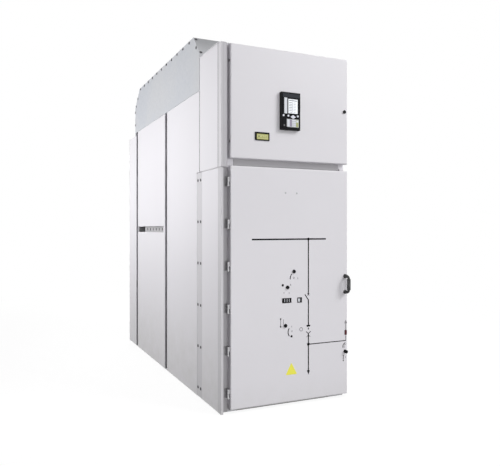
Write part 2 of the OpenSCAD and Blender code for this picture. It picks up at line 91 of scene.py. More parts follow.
def dotNode(tree, first, second):
    node = addNode(tree, "VectorMath", operation="DOT_PRODUCT")
    tree.links.new(first, node.inputs[0])
    tree.links.new(second, node.inputs[1])
    return node.outputs["Value"]


def axisOf(tree, vector, axis):
    node = addNode(tree, "SeparateXYZ")
    tree.links.new(vector, node.inputs[0])
    return node.outputs[axis]


def rangeNode(tree, value, fromMin, fromMax, toMin, toMax, smooth=False):
    node = addNode(tree, "MapRange", interpolation_type="SMOOTHSTEP" if smooth else "LINEAR")
    limits = {"Value": value, "From Min": fromMin, "From Max": fromMax, "To Min": toMin, "To Max": toMax}
    for label, limit in limits.items():
        feed(tree, node.inputs[label], limit)
    return node.outputs["Result"]


def noiseAt(tree, spot, sockets):
    node = addNode(tree, "TexNoise", sockets)
    tree.links.new(spot, node.inputs["Vector"])
    return node


def mixColour(tree, factor, first, second, mode="MIX"):
    node = addNode(tree, "Mix", data_type="RGBA", blend_type=mode)
    for index, value in ((0, factor), (6, first), (7, second)):
        feed(tree, node.inputs[index], value)
    return node.outputs[2]


# lays a group's second colour over its first through a mask, and puts out both
def layOver(tree, source, sink, mask, second):
    mixed = mixColour(tree, mask, source.outputs["Colour"], source.outputs[second])
    tree.links.new(mixed, sink.inputs["Colour"])
    tree.links.new(mask, sink.inputs["Mask"])
    return tree


paleGrey = (0.8, 0.8, 0.8, 1)
maskOutputs = [("Colour", "Color"), ("Mask", "Float")]


# broad drift of tone, roughness and the fine peel of a sprayed or moulded skin
def buildCoatTexture():
    inputs = [("Colour", "Color", paleGrey), ("Drift", "Float", 0.03), ("Grain", "Float", 900.0),
              ("Roughness", "Float", 0.45)]
    outputs = [("Colour", "Color"), ("Roughness", "Float"), ("Height", "Float")]
    tree, source, sink = startGroup("coatTexture", inputs, outputs)
    spot = addNode(tree, "TexCoord").outputs["Object"]
    broad = noiseAt(tree, spot, {"Scale": 1.7, "Detail": 3.0, "Roughness": 0.55})
    middle = noiseAt(tree, spot, {"Scale": 26.0, "Detail": 4.0})
    fine = noiseAt(tree, spot, {"Detail": 2.0, "Roughness": 0.6})
    tree.links.new(source.outputs["Grain"], fine.inputs["Scale"])
    swing = mathNode(tree, "SUBTRACT", broad.outputs["Fac"], 0.5)
    ripple = mathNode(tree, "SUBTRACT", middle.outputs["Fac"], 0.5)
    both = mathNode(tree, "ADD", swing, mathNode(tree, "MULTIPLY", ripple, 0.35))
    strength = mathNode(tree, "MULTIPLY", source.outputs["Drift"], 2.0)
    gain = mathNode(tree, "ADD", mathNode(tree, "MULTIPLY", both, strength), 1.0)
    level = addNode(tree, "CombineColor")
    for socket in level.inputs:
        tree.links.new(gain, socket)
    tinted = mixColour(tree, 1.0, source.outputs["Colour"], level.outputs[0], "MULTIPLY")
    tree.links.new(tinted, sink.inputs["Colour"])
    rough = mathNode(tree, "ADD", source.outputs["Roughness"], mathNode(tree, "MULTIPLY", both, 0.22))
    tree.links.new(rough, sink.inputs["Roughness"])
    tree.links.new(fine.outputs["Fac"], sink.inputs["Height"])
    return tree


# dust that settles near the floor and on what faces up, and painted shade towards the floor on the side
# panels
def buildDustAndLowShade():
    inputs = [("Colour", "Color", paleGrey), ("DustShadeTone", "Color", (0.5, 0.49, 0.46, 1)),
              ("Reach", "Float", 0.3), ("Amount", "Float", 0.3)]
    tree, source, sink = startGroup("dustAndLowShade", inputs, maskOutputs)
    spot = addNode(tree, "TexCoord").outputs["Object"]
    low = rangeNode(tree, axisOf(tree, spot, "Z"), 0.0, source.outputs["Reach"], 1.0, 0.0, True)
    facing = axisOf(tree, addNode(tree, "NewGeometry").outputs["Normal"], "Z")
    upward = rangeNode(tree, facing, 0.75, 1.0, 0.0, 0.8)
    cloud = noiseAt(tree, spot, {"Scale": 9.0, "Detail": 6.0, "Roughness": 0.65})
    patches = rangeNode(tree, cloud.outputs["Fac"], 0.3, 0.75, 0.2, 1.0)
    where = mathNode(tree, "MULTIPLY", mathNode(tree, "MAXIMUM", low, upward), patches)
    mask = mathNode(tree, "MULTIPLY", where, source.outputs["Amount"])
    return layOver(tree, source, sink, mask, "DustShadeTone")


# crystals of hot-dip zinc
def buildSpangle():
    inputs = [("Colour", "Color", (0.6, 0.6, 0.6, 1)), ("Cool", "Color", (0.55, 0.6, 0.64, 1)),
              ("Density", "Float", 60.0), ("Roughness", "Float", 0.5)]
    tree, source, sink = startGroup("spangle", inputs, [("Colour", "Color"), ("Roughness", "Float")])
    spot = addNode(tree, "TexCoord").outputs["Object"]
    warp = noiseAt(tree, spot, {"Scale": 30.0, "Detail": 2.0})
    shifted = addNode(tree, "Mix", data_type="VECTOR")
    shifted.inputs[0].default_value = 0.02
    tree.links.new(spot, shifted.inputs[4])
    tree.links.new(warp.outputs["Color"], shifted.inputs[5])
    cells = addNode(tree, "TexVoronoi")
    tree.links.new(shifted.outputs[1], cells.inputs["Vector"])
    tree.links.new(source.outputs["Density"], cells.inputs["Scale"])
    pick = addNode(tree, "SeparateColor")
    tree.links.new(cells.outputs["Color"], pick.inputs[0])
    broad = noiseAt(tree, spot, {"Scale": 1.6, "Detail": 2.0})
    patch = rangeNode(tree, broad.outputs["Fac"], 0.35, 0.65, 0.0, 0.7, True)
    part = mathNode(tree, "ADD", mathNode(tree, "MULTIPLY", pick.outputs[0], 0.3), patch)
    mixed = mixColour(tree, part, source.outputs["Colour"], source.outputs["Cool"])
    tree.links.new(mixed, sink.inputs["Colour"])
    glint = mathNode(tree, "SUBTRACT", pick.outputs[1], 0.5)
    rough = mathNode(tree, "ADD", source.outputs["Roughness"], mathNode(tree, "MULTIPLY", glint, 0.16))
    tree.links.new(rough, sink.inputs["Roughness"])
    return tree


# worn rims and painted highlight: how far the rounded normal leaves the true one
def buildEdgeWearAndHighlight():
    inputs = [("Colour", "Color", paleGrey), ("Bare", "Color", (0.9, 0.9, 0.9, 1)), ("Amount", "Float", 0.3)]
    tree, source, sink = startGroup("edgeWearAndHighlight", inputs, maskOutputs)
    soft = addNode(tree, "Bevel", {"Radius": 0.0025}, samples=4)
    leaving = dotNode(tree, soft.outputs[0], addNode(tree, "NewGeometry").outputs["Normal"])
    rim = rangeNode(tree, leaving, 0.985, 0.8, 0.0, 1.0)
    spot = addNode(tree, "TexCoord").outputs["Object"]
    chips = noiseAt(tree, spot, {"Scale": 70.0, "Detail": 5.0, "Roughness": 0.7})
    broken = rangeNode(tree, chips.outputs["Fac"], 0.4, 0.62, 0.15, 1.0)
    mask = mathNode(tree, "MULTIPLY", mathNode(tree, "MULTIPLY", rim, broken), source.outputs["Amount"])
    return layOver(tree, source, sink, mask, "Bare")


# painted shade that grows along a direction, right of a limit
def buildPaintedShade():
    inputs = [("Colour", "Color", paleGrey), ("ShadeTone", "Color", (0.4, 0.4, 0.4, 1)),
              ("Along", "Vector", (0, 1, 0)), ("From", "Float", 0.0), ("To", "Float", 1.0),
              ("Left", "Float", -1.0)]
    tree, source, sink = startGroup("gapShade", inputs, maskOutputs)
    spot = addNode(tree, "TexCoord").outputs["Object"]
    reach = dotNode(tree, spot, source.outputs["Along"])
    grow = rangeNode(tree, reach, source.outputs["From"], source.outputs["To"], 0.0, 1.0, True)
    inside = mathNode(tree, "GREATER_THAN", axisOf(tree, spot, "X"), source.outputs["Left"])
    cloud = noiseAt(tree, spot, {"Scale": 12.0, "Detail": 5.0})
    patch = rangeNode(tree, cloud.outputs["Fac"], 0.3, 0.7, 0.88, 1.0)
    mask = mathNode(tree, "MULTIPLY", mathNode(tree, "MULTIPLY", grow, inside), patch)
    return layOver(tree, source, sink, mask, "ShadeTone")


groups = {"coat": buildCoatTexture(), "dustAndShade": buildDustAndLowShade(), "spangle": buildSpangle(),
          "wearAndHighlight": buildEdgeWearAndHighlight(), "paintedShade": buildPaintedShade()}


def useGroup(tree, key, **values):
    node = tree.nodes.new("ShaderNodeGroup")
    node.node_tree = groups[key]
    for label, value in values.items():
        feed(tree, node.inputs[label], value)
    return node.outputs


def makeFinish(name, colour, roughness, drift=0.03, grain=900.0, bump=0.04, metallic=0.0, specular=0.5,
               dustAndShade=0.0, reach=0.3, wearAndHighlight=0.0, rimTone=(0.85, 0.85, 0.86), cool=None, density=55.0, glow=0.0,
               paintedShade=None):
    material = bpy.data.materials.new(name)
    material.use_nodes = True
    tree = material.node_tree
    shader = tree.nodes["Principled BSDF"]
    skin = useGroup(tree, "coat", Colour=(*colour, 1), Drift=drift, Grain=grain, Roughness=roughness)
    tone, rough = skin["Colour"], skin["Roughness"]
    if cool:
        crystals = useGroup(tree, "spangle", Colour=tone, Cool=(*cool, 1), Density=density, Roughness=rough)
        tone, rough = crystals["Colour"], crystals["Roughness"]
    if wearAndHighlight:
        tone = useGroup(tree, "wearAndHighlight", Colour=tone, Bare=(*rimTone, 1), Amount=wearAndHighlight)["Colour"]
    if paintedShade:
        tone = useGroup(tree, "paintedShade", Colour=tone, **paintedShade)["Colour"]
    if dustAndShade:
        tone = useGroup(tree, "dustAndShade", Colour=tone, Amount=dustAndShade, Reach=reach)["Colour"]
    tree.links.new(tone, shader.inputs["Base Color"])
    tree.links.new(rough, shader.inputs["Roughness"])
    peel = addNode(tree, "Bump", {"Strength": bump, "Distance": 0.001})
    tree.links.new(skin["Height"], peel.inputs["Height"])
    tree.links.new(peel.outputs["Normal"], shader.inputs["Normal"])
    shader.inputs["Metallic"].default_value = metallic
    shader.inputs["Specular IOR Level"].default_value = specular
    if glow:
        tree.links.new(tone, shader.inputs["Emission Color"])
        shader.inputs["Emission Strength"].default_value = glow
    return material


# painted shade of one tone; start, end and left limit in millimetres from the panel's front left foot
def shadeBand(tone, along, start, end, left=-1000):
    foot = along[0] * panelLeft + along[1] * doorFront
    return {"ShadeTone": (*tone, 1), "Along": along, "From": foot + start * mm, "To": foot + end * mm,
            "Left": panelLeft + left * mm}


# skins that several finishes share
sprayed = {"roughness": 0.46, "drift": 0.02, "grain": 650.0, "bump": 0.06}
zinc = {"roughness": 0.5, "drift": 0.04, "grain": 320.0, "bump": 0.05, "metallic": 0.1, "wearAndHighlight": 0.2}
moulded = {"drift": 0.1, "grain": 1500.0, "bump": 0.1, "wearAndHighlight": 0.12, "rimTone": (0.06, 0.06, 0.065)}
printed = {"roughness": 0.6, "drift": 0.08, "grain": 1100.0, "bump": 0.05}
filmSkin = {"roughness": 0.5, "drift": 0.08, "grain": 1400.0, "bump": 0.06}
labelSkin = {"roughness": 0.5, "drift": 0.04, "grain": 1300.0, "bump": 0.04}
screenSkin = {"roughness": 0.3, "grain": 300.0, "bump": 0.0}
floorDust = {"dustAndShade": 0.22, "reach": 0.22}
panelGrey = (0.735, 0.721, 0.757)
# paint's rims lightened: wear and painted highlight
paleEdge = {"wearAndHighlight": 0.25, "rimTone": (0.83, 0.82, 0.85)}

finishValues = {
    "greyPaint": {**sprayed, **floorDust, **paleEdge, "colour": panelGrey},
    # side panels: painted shade darkens them towards the floor, laid through the dust layer
    "sidePaint": {**sprayed, **paleEdge, "colour": panelGrey, "dustAndShade": 0.42, "reach": 0.75},
    # front trim: a darker copy of the panel grey, with painted shade over its hinge recess
    "trimPaint": {**sprayed, **floorDust, "colour": (0.58, 0.569, 0.596),
                  "paintedShade": shadeBand((0.40, 0.39, 0.41), (0, 1, 0), 36, 44, 4)},
    # corner post: a darker copy of the panel grey, with painted shade growing towards the low-voltage door's
    # gap
    "cornerPaint": {**sprayed, "colour": (0.64, 0.628, 0.659),
                    "paintedShade": shadeBand((0.44, 0.43, 0.455), (1, -3, 0), -8, 24)},
    # dark grey on the band between the doors and on the low-voltage hinge parts is painted shade
    "railShadeGrey": {**sprayed, "colour": (0.45, 0.44, 0.46), "roughness": 0.5, "drift": 0.04, "wearAndHighlight": 0.2,
                  "rimTone": (0.6, 0.6, 0.61)},
    # dark grey on the door sill and base bars is painted shade under the door
    "sillShadeGrey": {**sprayed, "colour": (0.30, 0.30, 0.305), "roughness": 0.55, "drift": 0.06, "dustAndShade": 0.3},
    "stripPaint": {**sprayed, **floorDust, "colour": (0.60, 0.588, 0.615), "roughness": 0.5, "drift": 0.03},
    "zincSheet": {**zinc, "colour": (0.53, 0.538, 0.562), "cool": (0.49, 0.51, 0.553), "metallic": 0.15,
                  "dustAndShade": 0.2, "reach": 0.2},
    # duct's front slope: painted shade darkens it towards its top
    "zincSlope": {**zinc, "colour": (0.53, 0.535, 0.555), "cool": (0.50, 0.51, 0.545), "drift": 0.06,
                  "paintedShade": shadeBand((0.34, 0.345, 0.36), (0, 0, 1), 2430, 2580)},
    "zincRail": {**zinc, "colour": (0.44, 0.432, 0.448), "grain": 400.0},
    # dark grey on the end-wall posts in the side's grooves is painted shade
    "grooveShadeGrey": {"colour": (0.49, 0.481, 0.496), "roughness": 0.65, "drift": 0.06, "grain": 800.0,
                   "bump": 0.08, "dustAndShade": 0.2, "specular": 0.3},
    # hinge steel: painted shade on the feet beside the barrels
    "hingeZinc": {**zinc, "colour": (0.52, 0.52, 0.53), "drift": 0.06, "grain": 500.0, "metallic": 0.2,
                  "specular": 0.3, "paintedShade": shadeBand((0.36, 0.353, 0.366), (1, 0.9, 0), 61.5, 66)},
    "lockZinc": {**zinc, "colour": (0.05, 0.05, 0.052), "roughness": 0.4, "drift": 0.06, "grain": 500.0,
                 "metallic": 0.3, "wearAndHighlight": 0.0},
    "screwZinc": {**zinc, "colour": (0.075, 0.072, 0.08), "drift": 0.1, "grain": 700.0, "bump": 0.06,
                  "specular": 0.2, "wearAndHighlight": 0.0},
    "blackPlastic": {**moulded, "colour": (0.007, 0.007, 0.008), "roughness": 0.45, "specular": 0.1},
    "gripPlastic": {**moulded, "colour": (0.018, 0.018, 0.019), "roughness": 0.38, "specular": 0.45},
    "printBlack": {**printed, "colour": (0.010, 0.009, 0.011), "specular": 0.12},
    "printGrey": {**printed, "colour": (0.20, 0.19, 0.21), "specular": 0.2},
    # black foam of the door seals, also used as painted shade in the side's seams and behind the rail
    "sealFoamAndShade": {"colour": (0.035, 0.035, 0.037), "roughness": 0.85, "drift": 0.15, "grain": 1800.0,
                 "bump": 0.3},
    "signYellow": {"colour": (0.87, 0.83, 0.09), "roughness": 0.45, "drift": 0.05, "grain": 1000.0,
                   "wearAndHighlight": 0.2},
    "lampRed": {"colour": (0.085, 0.010, 0.016), "roughness": 0.25, "drift": 0.1, "grain": 600.0,
                "bump": 0.02, "specular": 0.3},
    "filmDark": {**filmSkin, "colour": (0.008, 0.0085, 0.010), "specular": 0.06},
    "filmSlate": {**filmSkin, "colour": (0.030, 0.033, 0.040), "specular": 0.1},
    "labelPale": {**labelSkin, "colour": (0.70, 0.72, 0.77)},
    "labelGrey": {**labelSkin, "colour": (0.50, 0.51, 0.53)},
    "labelMauve": {**labelSkin, "colour": (0.30, 0.27, 0.37), "drift": 0.06},
    "labelOlive": {**labelSkin, "colour": (0.40, 0.42, 0.20), "drift": 0.06},
    "portGrey": {**labelSkin, "colour": (0.13, 0.132, 0.14), "drift": 0.06},
    "keyGrey": {**labelSkin, "colour": (0.74, 0.75, 0.83), "grain": 1600.0, "bump": 0.08},
    "screenPale": {**screenSkin, "colour": (0.90, 0.93, 0.96), "roughness": 0.25, "drift": 0.02,
                   "specular": 0.3, "glow": 0.16},
    "screenLine": {**screenSkin, "colour": (0.30, 0.32, 0.38), "drift": 0.03},
    "screenOlive": {**screenSkin, "colour": (0.42, 0.41, 0.12), "drift": 0.16, "grain": 200.0,
                    "specular": 0.3},
    "screenLime": {**screenSkin, "colour": (0.56, 0.57, 0.27), "drift": 0.12, "grain": 200.0,
                   "specular": 0.3},
}
finishes = {name: makeFinish(name, **values) for name, values in finishValues.items()}
print("finishes ready:", len(finishes))

nodeFinish = {"galvanised_sheet": "zincSheet", "dark_profile": "grooveShadeGrey", "hinge_steel": "hingeZinc",
              "black_plastic": "blackPlastic", "grey_paint": "greyPaint"}
ownFinish = {"duct_front_slope": "zincSlope", "perforated_rail": "zincRail", "bow_handle": "gripPlastic",
             "end_wall_joint_strip": "stripPaint", "end_wall_front_trim": "trimPaint",
             "lv_corner_post": "cornerPaint", "door_cross_rail": "railShadeGrey", "lv_hinge_ears": "railShadeGrey",
             "lv_hinge_tongues": "railShadeGrey", "door_sill": "sillShadeGrey", "base_cross_bars": "sillShadeGrey",
             "end_wall_front_lower": "sidePaint", "end_wall_front_panel": "sidePaint",
             "end_wall_middle_panel": "sidePaint", "end_wall_rear_panel": "sidePaint"}
slotOf = {part["node"]: part["material_slot"] for part in frame["record"]["subparts"]}
for nodeName, node in frame["nodes"].items():
    node.data.materials.clear()
    node.data.materials.append(finishes[ownFinish.get(nodeName, nodeFinish[slotOf[nodeName]])])
print("frame dressed")


# tools for the scene's own meshes
def addObject(name, data):
    thing = bpy.data.objects.new(name, data)
    bpy.context.scene.collection.objects.link(thing)
    return thing


def addMesh(name, mesh):
    data = bpy.data.meshes.new(name)
    mesh.to_mesh(data)
    mesh.free()
    return addObject(name, data)


def addPiece(name, mesh, finishNames, body):
    piece = addMesh(name, mesh)
    for key in finishNames:
        piece.data.materials.append(finishes[key])
    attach(piece, body)


def aim(point, direction):
    return Matrix.Translation(point) @ Vector(direction).to_track_quat("Z", "Y").to_matrix().to_4x4()


# turns a profile of (radius, height) millimetres about the local Z of a matrix
def turn(mesh, profile, matrix, sides=20):
    rings = []
    for radius, height in profile:
        ring = []
        for step in range(sides if radius > 1e-6 else 1):
            angle = 2 * math.pi * step / sides
            across, up = radius * mm * math.cos(angle), radius * mm * math.sin(angle)
            ring.append(mesh.verts.new(matrix @ Vector((across, up, height * mm))))
        rings.append(ring)
    for lower, upper in zip(rings, rings[1:]):
        for step in range(sides):
            after = (step + 1) % sides
            corners = [lower[step % len(lower)], lower[after % len(lower)],
                       upper[after % len(upper)], upper[step % len(upper)]]
            corners = list(dict.fromkeys(corners))
            if len(corners) > 2:
                mesh.faces.new(corners).smooth = True


# rings of points at several heights, each joined to the next; gives back the last
def stack(mesh, levels, corner, finish=0, smooth=False):
    rings = [[mesh.verts.new(corner(u, v, height)) for u, v in points] for points, height in levels]
    for first, second in zip(rings, rings[1:]):
        for i in range(len(first)):
            j = (i + 1) % len(first)
            face = mesh.faces.new([first[i], first[j], second[j], second[i]])
            face.material_index = finish
            face.smooth = smooth
    return rings[-1]


# plate with a flat outline, standing out from a plane and eased at its rim
def plate(mesh, outline, corner, out, ease=0.0, finish=0):
    levels = [(outline, 0.0), (shrink(outline, ease), out)]
    if ease:
        levels.insert(1, (outline, out - ease))
    top = stack(mesh, levels, corner, finish)
    mesh.faces.new(top).material_index = finish


def shrink(outline, by):
    count = len(outline)
    area = sum(outline[i - 1][0] * outline[i][1] - outline[i][0] * outline[i - 1][1] for i in range(count))
    sign = 1 if area > 0 else -1
    moved = []
    for i in range(count):
        before, here, after = (Vector(outline[j % count]) for j in (i - 1, i, i + 1))
        inward = Vector((0.0, 0.0))
        for first, second in ((before, here), (here, after)):
            edge = (second - first).normalized()
            inward += Vector((-edge.y, edge.x)) * sign
        if inward.length > 1e-6:
            half = inward.normalized()
            edge = (after - here).normalized()
            lean = max(0.5, half.dot(Vector((-edge.y, edge.x)) * sign))
            here = here + half * (by / lean)
        moved.append((here.x, here.y))
    return moved


def arc(centreU, centreV, radius, start, end, steps):
    angles = [math.radians(start + (end - start) * i / steps) for i in range(steps + 1)]
    return [(centreU + radius * math.cos(angle), centreV + radius * math.sin(angle)) for angle in angles]


def disc(centreU, centreV, radius, steps=24):
    return arc(centreU, centreV, radius, 0, 360, steps)[:-1]


def softBox(u0, v0, u1, v1, radius, steps=5):
    points = []
    for cu, cv, start in ((u1 - radius, v1 - radius, 0), (u0 + radius, v1 - radius, 90),
                          (u0 + radius, v0 + radius, 180), (u1 - radius, v0 + radius, 270)):
        points += arc(cu, cv, radius, start, start + 90, steps)
    return points


# outline of a line of some width along a path
def ribbon(path, width):
    left, right = [], []
    for i, point in enumerate(path):
        here = Vector(point)
        ahead = (Vector(path[i + 1]) - here).normalized() if i + 1 < len(path) else None
        behind = (here - Vector(path[i - 1])).normalized() if i else None
        along = ((ahead or behind) + (behind or ahead)).normalized()
        side = Vector((-along.y, along.x))
        lean = max(0.5, side.dot(Vector((-(ahead or behind).y, (ahead or behind).x))))
        left.append(tuple(here + side * (width / 2 / lean)))
        right.append(tuple(here - side * (width / 2 / lean)))
    return right + left[::-1]


# planes to lay plates on: a front at some depth, and the left side
def onFront(depth=0.0):
    return lambda u, v, out: place(u, depth - out, v)


def onSide(base):
    return lambda s, z, out: place(base - out, s, z)


def between(first, last, count):
    return [first + (last - first) * i / (count - 1) for i in range(count)]


# head of every screw, as shares of its radius and height
screwHead = {"profile": ((1, 0), (1, 0.35), (0.82, 0.8), (0.42, 1), (0.36, 0.45), (0, 0.4)), "sides": 14}


# one piece for each row of screws, sized by radius and height of the head
def screwRow(name, places, direction, size, finishName="screwZinc"):
    profile = [(size[0] * wide, size[1] * high) for wide, high in screwHead["profile"]]
    mesh = bmesh.new()
    for point in places:
        turn(mesh, profile, aim(point, direction), screwHead["sides"])
    addPiece(name, mesh, [finishName], "enclosure")


jointStrip = {"depths": (373, 426), "heights": (1540, 1246, 952, 656, 361, 67), "face": 4,
              "screw": (11.0, 3.6)}
stripSpots = [place(jointStrip["face"], s, z) for s in jointStrip["depths"] for z in jointStrip["heights"]]
screwRow("jointStripScrews", stripSpots, (-1, 0, 0), jointStrip["screw"])

# the last two rows of screws are offsets from the feet of the front and rear slopes
duct = {"front": 389, "frontHigh": 2436, "frontTop": 515, "top": 2592, "rear": 2250, "rearHigh": 2427,
        "screw": (11.5, 3.4), "topMargin": 12, "topScrews": (603, 2033, 11), "slopeInset": 16,
        "slopeShares": (0.1, 0.9), "frontScrews": ((66, 62),),
        "rearScrews": ((-40, 18), (-108, 82), (-12, -40), (-12, -170))}
ductEdge = [(s, duct["top"] - duct["topMargin"]) for s in between(*duct["topScrews"])]
ductEdge += [(duct["front"] + s, duct["frontHigh"] + z) for s, z in duct["frontScrews"]]
ductEdge += [(duct["rear"] + s, duct["rearHigh"] + z) for s, z in duct["rearScrews"]]
for side, x, out in (("Left", 0, -1), ("Right", cabinet["wide"], 1)):
    screwRow("ductScrews" + side, [place(x, s, z) for s, z in ductEdge], (out, 0, 0), duct["screw"])

slopeRun = duct["frontTop"] - duct["front"]
slopeRise = duct["top"] - duct["frontHigh"]
slopeSpots = []
for share in duct["slopeShares"]:
    s, z = duct["front"] + slopeRun * share, duct["frontHigh"] + slopeRise * share
    slopeSpots += [place(x, s, z) for x in (duct["slopeInset"], cabinet["wide"] - duct["slopeInset"])]
screwRow("ductSlopeScrews", slopeSpots, (0, -slopeRise, slopeRun), duct["screw"])

rearCovers = {"columns": (35, 490, 945), "heights": (40, 410, 780, 1130, 1190, 1500, 1810, 2115),
              "screw": (6.0, 2.6)}
rearSpots = [place(x, cabinet["deep"], z) for x in rearCovers["columns"] for z in rearCovers["heights"]]
screwRow("rearCoverScrews", rearSpots, (0, 1, 0), rearCovers["screw"])

# depths and heights of the screws, tray by tray
rightSide = {"screw": (6.0, 2.6), "trays": (
    ((120, 1130, 1250, 2118, 2236, 2472), (60, 420, 790, 1160, 1520)),
    ((1250, 2118), (1850, 2140)),
    ((2236, 2472), (1850,)),
    ((116, 362), (1640, 1990, 2370)),
    ((412, 1130), (1640, 1890, 2140)))}
rightSpots = [place(cabinet["wide"], s, z) for depths, heights in rightSide["trays"]
              for s in depths for z in heights]
screwRow("rightSideScrews", rightSpots, (1, 0, 0), rightSide["screw"])

hingeRow = {"first": 127, "pitch": 275, "count": 6, "x": 36, "s": 42, "rise": 18, "screw": (4.0, 1.6)}
hingeSpots = [place(hingeRow["x"], hingeRow["s"], hingeRow["first"] + hingeRow["pitch"] * i + rise)
              for i in range(hingeRow["count"]) for rise in (-hingeRow["rise"], hingeRow["rise"])]
screwRow("hingeScrews", hingeSpots, (0, -1, 0), hingeRow["screw"], "hingeZinc")

doorBand = {"x": 941, "s": 48, "z": 1618, "screw": (5.0, 2.2)}
screwRow("bandScrews", [place(doorBand["x"], doorBand["s"], doorBand["z"])], (0, -1, 0), doorBand["screw"])
print("screws placed")

# sealing bead: one run in the side's level seam, one up the joint strip's rear edge
seamBead = {"level": ((7.0, 1594.2), (1.3, 1594.2), (0.7, 1595.5), (1.3, 1596.8), (7.0, 1596.8)),
            "levelEnds": (49.5, 340),
            "upright": ((7.0, 427.0), (3.8, 427.0), (2.2, 433.0), (0.8, 439.8), (0.5, 441.8), (7.0, 441.8)),
            "uprightEnds": (5, 1593)}


def buildSeamBead():
    mesh = bmesh.new()

    def run(ends, smooth):
        for i in range(len(ends[0]) - 1):
            face = mesh.faces.new([ends[0][i], ends[1][i], ends[1][i + 1], ends[0][i + 1]])
            face.smooth = smooth
        for end in ends:
            mesh.faces.new(end)

    run([[mesh.verts.new(place(x, s, z)) for x, z in seamBead["level"]] for s in seamBead["levelEnds"]], True)
    run([[mesh.verts.new(place(x, s, z)) for x, s in seamBead["upright"]] for z in seamBead["uprightEnds"]],
        False)
    addPiece("seamBead", mesh, ["stripPaint"], "enclosure")


buildSeamBead()

# dark strips in the side's upright seams are painted shade
seamShadeStrips = {"strips": ((46.5, 1598, 51.5, 2411), (384.5, 1600, 388.5, 2172)), "base": 1.0, "thick": 1.4,
              "round": 0.8, "ease": 0.4}
mesh = bmesh.new()
for strip in seamShadeStrips["strips"]:
    outline = softBox(*strip, seamShadeStrips["round"], 3)
    plate(mesh, outline, onSide(seamShadeStrips["base"]), seamShadeStrips["thick"], seamShadeStrips["ease"])
addPiece("seamShadeStrips", mesh, ["sealFoamAndShade"], "enclosure")

# dark strip behind the perforated rail, painted shade seen through its holes
railShadeStrip = {"box": (1254, 1155, 1936, 1226), "round": 4, "base": 27.5, "thick": 1.5, "ease": 0.4}
mesh = bmesh.new()
plate(mesh, softBox(*railShadeStrip["box"], railShadeStrip["round"]), onSide(railShadeStrip["base"]), railShadeStrip["thick"],
      railShadeStrip["ease"])
addPiece("railShadeStrip", mesh, ["sealFoamAndShade"], "enclosure")
print("bead and rail strip laid")

# mimic diagram on the lower door: kind, ink, width or radius, then points across and up
black, grey = 0, 1
mimic = {
    "film": 0.35, "rise": 0.016, "riseBelow": 900, "earthLift": 5,
    "marks": (
        ("line", black, 10.5, (221, 1126), (798, 1126)),  # busbar
        ("dot", black, 9.5, (655, 1126)),
        ("line", black, 8.6, (655, 1121), (655, 741)),
        ("line", black, 3.4, (647, 734), (663, 750)),  # cross of the breaker's fixed contact
        ("line", black, 3.4, (647, 750), (663, 734)),
        ("line", black, 6.8, (627, 743), (656, 702)),  # blade
        ("line", black, 8.6, (655, 706), (655, 528)),
        ("shape", black, 0, (670, 529), (670, 520), (663, 514), (655, 519), (647, 514), (640, 520),
         (640, 529)),  # withdrawable contacts
        ("line", black, 6.88, (655, 510), (655, 496)),
        ("line", black, 5.0, (638, 483), (647, 473), (655, 470), (663, 473), (672, 483)),
        ("line", grey, 4.0, (640, 444), (648, 453), (655, 455), (662, 453), (670, 444)),
        ("line", black, 8.6, (655, 468), (655, 209)),  # outgoing line and its arrow
        ("shape", black, 0, (643.5, 209), (655, 180), (666.5, 209), (655, 215)),
        ("dot", black, 11, (655, 393)),
        ("line", black, 6.2, (663, 393), (966, 393)),  # branch to the earthing switch
        ("line", black, 4.6, (966, 393), (966, 428)),
        ("arc", black, 6.0, (545, 862, 34, 128, 196, 10)),  # turning marks round the sockets
        ("line", grey, 4.4, (514, 822), (514, 808)),
        ("arc", black, 6.4, (536, 490, 42, 142, 222, 14)),
        ("dot", black, 8.5, (521, 459)),
        ("arc", black, 5.0, (966, 352, 25, 95, 205, 12)),
        ("arc", grey, 3.4, (962, 354, 12, 60, 240, 12)),
        ("dot", black, 8.5, (453, 814)),  # small round and bar marks
        ("ring", grey, 7, (538, 862), 0.6),
        ("ring", grey, 14, (597, 502), 0.72),
        ("ring", grey, 6, (525, 494), 0.6),
        ("line", grey, 3.6, (570, 852), (570, 864)),
        ("line", grey, 3.6, (462, 756), (462, 766)),
        ("line", grey, 3.6, (502, 754), (502, 764)),
        ("line", grey, 3.6, (523, 521), (523, 531)),
        ("line", grey, 3.6, (964, 267), (964, 279)),
        ("line", grey, 4.6, (437, 531), (437, 584)),
        ("dot", black, 5.5, (437, 531)),
        ("dot", black, 5.5, (437, 584)),
        ("line", grey, 3.4, (458, 545), (458, 580)),
        ("line", grey, 4.4, (945, 248), (945, 286)),
        ("dot", black, 4.5, (945, 250)),
        ("dot", black, 4.5, (945, 268)),
        ("dot", black, 4.5, (945, 285))),
    "earthMarks": (
        ("line", black, 4.6, (966, 466), (966, 514)),
        ("line", black, 5.0, (955.5, 516), (976.5, 516)),
        ("line", black, 5.0, (959, 525), (973, 525)),
        ("line", black, 5.0, (962.5, 533), (969.5, 533))),
}


def outlinesOf(kind, size, points):
    if kind == "line":
        return [ribbon(points, size)]
    if kind == "arc":
        return [ribbon(arc(*points[0]), size)]
    if kind == "dot":
        return [disc(*points[0], size)]
    if kind == "ring":
        outer, inner = disc(*points[0], size), disc(*points[0], size * points[1])
        return [[outer[i - 1], outer[i], inner[i], inner[i - 1]] for i in range(len(outer))]
    return [points]


def buildMimic():
    mesh = bmesh.new()
    below, rise = mimic["riseBelow"], mimic["rise"]
    for marks, lift in ((mimic["marks"], 0), (mimic["earthMarks"], mimic["earthLift"])):
        for kind, ink, size, *points in marks:
            for outline in outlinesOf(kind, size, points):
                raised = [(u, v + max(0.0, below - v) * rise + lift) for u, v in outline]
                plate(mesh, raised, onFront(), mimic["film"], 0.0, ink)
    addPiece("mimicDiagram", mesh, ["printBlack", "printGrey"], "lower_door")


